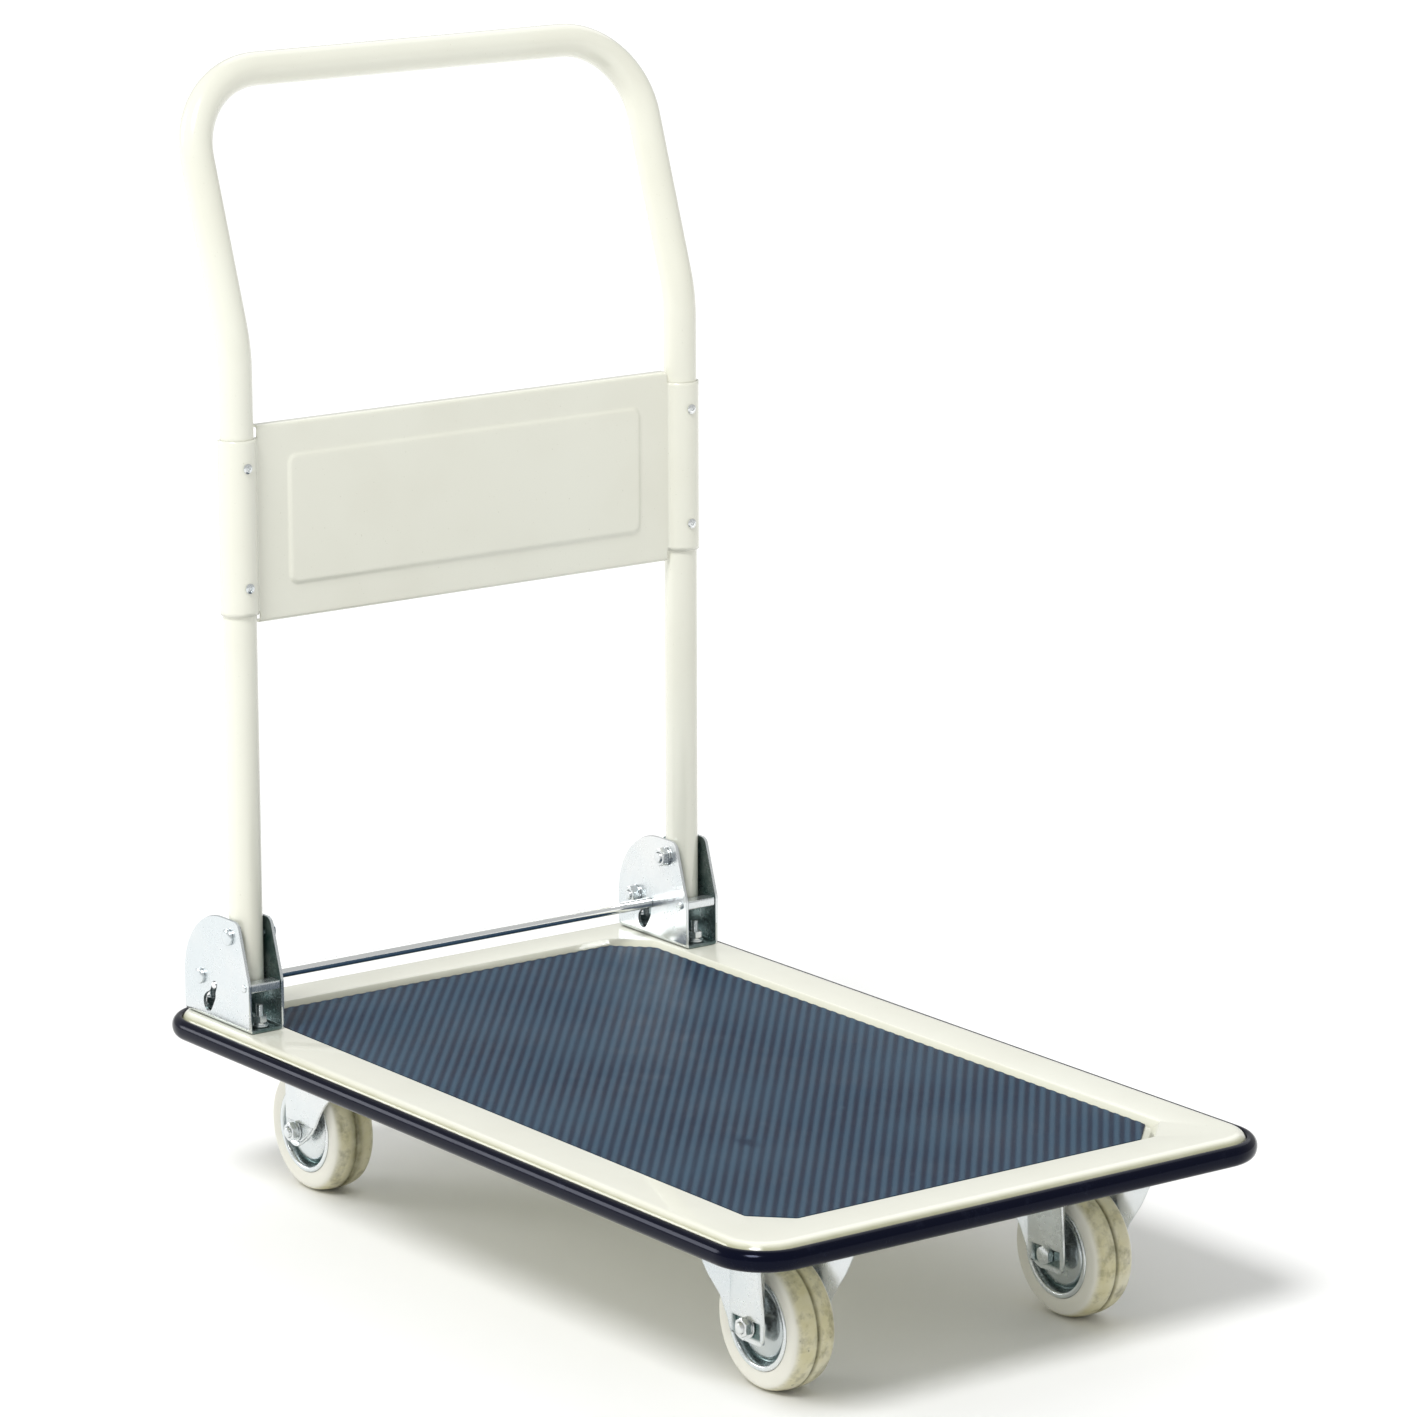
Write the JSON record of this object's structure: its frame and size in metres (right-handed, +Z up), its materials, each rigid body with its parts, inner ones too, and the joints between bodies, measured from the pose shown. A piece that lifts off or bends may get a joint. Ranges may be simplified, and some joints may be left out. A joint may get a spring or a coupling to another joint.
{
  "type": "folding platform cart",
  "caption": "Pressed steel platform cart with a recessed ribbed mat, wrap-round bumper, fold-down loop handle with lock rod, and fixed and swivel casters.",
  "frame": {"origin": "centre of the overall box on the ground", "axes": "+Z up; +X towards the end away from the handle; +Y across the cart to the right bracket; handle upright at rest"},
  "size_m": [0.78, 0.48, 0.8831],
  "materials": {
    "cream_paint": "satin cream enamel",
    "zinc_plate": "bright zinc plated pressed steel",
    "rod_chrome": "polished chrome plate",
    "spring_steel": "plain spring wire",
    "bumper_rubber": "glossy dark navy extrusion",
    "mat_rubber": "slate blue ribbed sheet",
    "tyre_rubber": "matt cream rubber, lightly soiled"
  },
  "bodies": {
    "deck": {"bumper_strip": "bumper_rubber", "deck_bolt_front_left": "zinc_plate", "deck_bolt_front_right": "zinc_plate", "deck_bolt_rear_left": "zinc_plate", "deck_bolt_rear_right": "zinc_plate", "deck_channel_front": "cream_paint", "deck_channel_rear": "cream_paint", "deck_mat": "mat_rubber", "deck_nut_front_left": "zinc_plate", "deck_nut_front_right": "zinc_plate", "deck_nut_rear_left": "zinc_plate", "deck_nut_rear_right": "zinc_plate", "deck_pan": "cream_paint", "front_caster_left_axle": "zinc_plate", "front_caster_left_axle_nut": "zinc_plate", "front_caster_left_fork": "zinc_plate", "front_caster_right_axle": "zinc_plate", "front_caster_right_axle_nut": "zinc_plate", "front_caster_right_fork": "zinc_plate", "hinge_bracket_left": "zinc_plate", "hinge_bracket_right": "zinc_plate", "pivot_bolt_left": "zinc_plate", "pivot_bolt_right": "zinc_plate", "pivot_nut_left": "zinc_plate", "pivot_nut_right": "zinc_plate", "rear_bolt_left": "zinc_plate", "rear_bolt_right": "zinc_plate", "rear_caster_left_kingpin": "zinc_plate", "rear_caster_left_plate": "zinc_plate", "rear_caster_right_kingpin": "zinc_plate", "rear_caster_right_plate": "zinc_plate", "rear_nut_left": "zinc_plate", "rear_nut_right": "zinc_plate", "return_spring_left": "spring_steel", "return_spring_right": "spring_steel", "stop_bar_left": "zinc_plate", "stop_bar_right": "zinc_plate"},
    "handle": {"handle_tube": "cream_paint", "handle_panel": "cream_paint", "panel_screw_high_left": "zinc_plate", "panel_screw_high_right": "zinc_plate", "panel_screw_low_left": "zinc_plate", "panel_screw_low_right": "zinc_plate"},
    "release_rod": {"release_rod": "rod_chrome"},
    "swivel_left": {"rear_caster_left_fork": "zinc_plate", "rear_caster_left_axle": "zinc_plate", "rear_caster_left_axle_nut": "zinc_plate"},
    "front_wheel_left": {"front_caster_left_tyre": "tyre_rubber", "front_caster_left_hub": "zinc_plate"},
    "rear_wheel_left": {"rear_caster_left_tyre": "tyre_rubber", "rear_caster_left_hub": "zinc_plate"},
    "swivel_right": {"rear_caster_right_fork": "zinc_plate", "rear_caster_right_axle": "zinc_plate", "rear_caster_right_axle_nut": "zinc_plate"},
    "front_wheel_right": {"front_caster_right_tyre": "tyre_rubber", "front_caster_right_hub": "zinc_plate"},
    "rear_wheel_right": {"rear_caster_right_tyre": "tyre_rubber", "rear_caster_right_hub": "zinc_plate"}
  },
  "joints": [
    {"name": "handle_fold", "type": "hinge", "parent": "deck", "child": "handle", "pos_m": [-0.302, 0, 0.217], "axis": [0, 1, 0], "range_deg": [0, 96]},
    {"name": "rod_press", "type": "slide", "parent": "deck", "child": "release_rod", "axis": [-0.436, 0, -0.9], "range_m": [0, 0.0185], "stiffness_N_per_m": 900, "springref_m": -0.008},
    {"name": "swivel_turn_left", "type": "hinge", "parent": "deck", "child": "swivel_left", "pos_m": [-0.281, -0.136, 0.116], "axis": [0, 0, 1], "continuous": true},
    {"name": "rear_wheel_spin_left", "type": "hinge", "parent": "swivel_left", "child": "rear_wheel_left", "pos_m": [-0.308, -0.136, 0.05], "axis": [0, 1, 0], "continuous": true},
    {"name": "front_wheel_spin_left", "type": "hinge", "parent": "deck", "child": "front_wheel_left", "pos_m": [0.281, -0.136, 0.05], "axis": [0, 1, 0], "continuous": true},
    {"name": "swivel_turn_right", "type": "hinge", "parent": "deck", "child": "swivel_right", "pos_m": [-0.281, 0.136, 0.116], "axis": [0, 0, 1], "continuous": true},
    {"name": "rear_wheel_spin_right", "type": "hinge", "parent": "swivel_right", "child": "rear_wheel_right", "pos_m": [-0.308, 0.136, 0.05], "axis": [0, 1, 0], "continuous": true},
    {"name": "front_wheel_spin_right", "type": "hinge", "parent": "deck", "child": "front_wheel_right", "pos_m": [0.281, 0.136, 0.05], "axis": [0, 1, 0], "continuous": true}
  ]
}
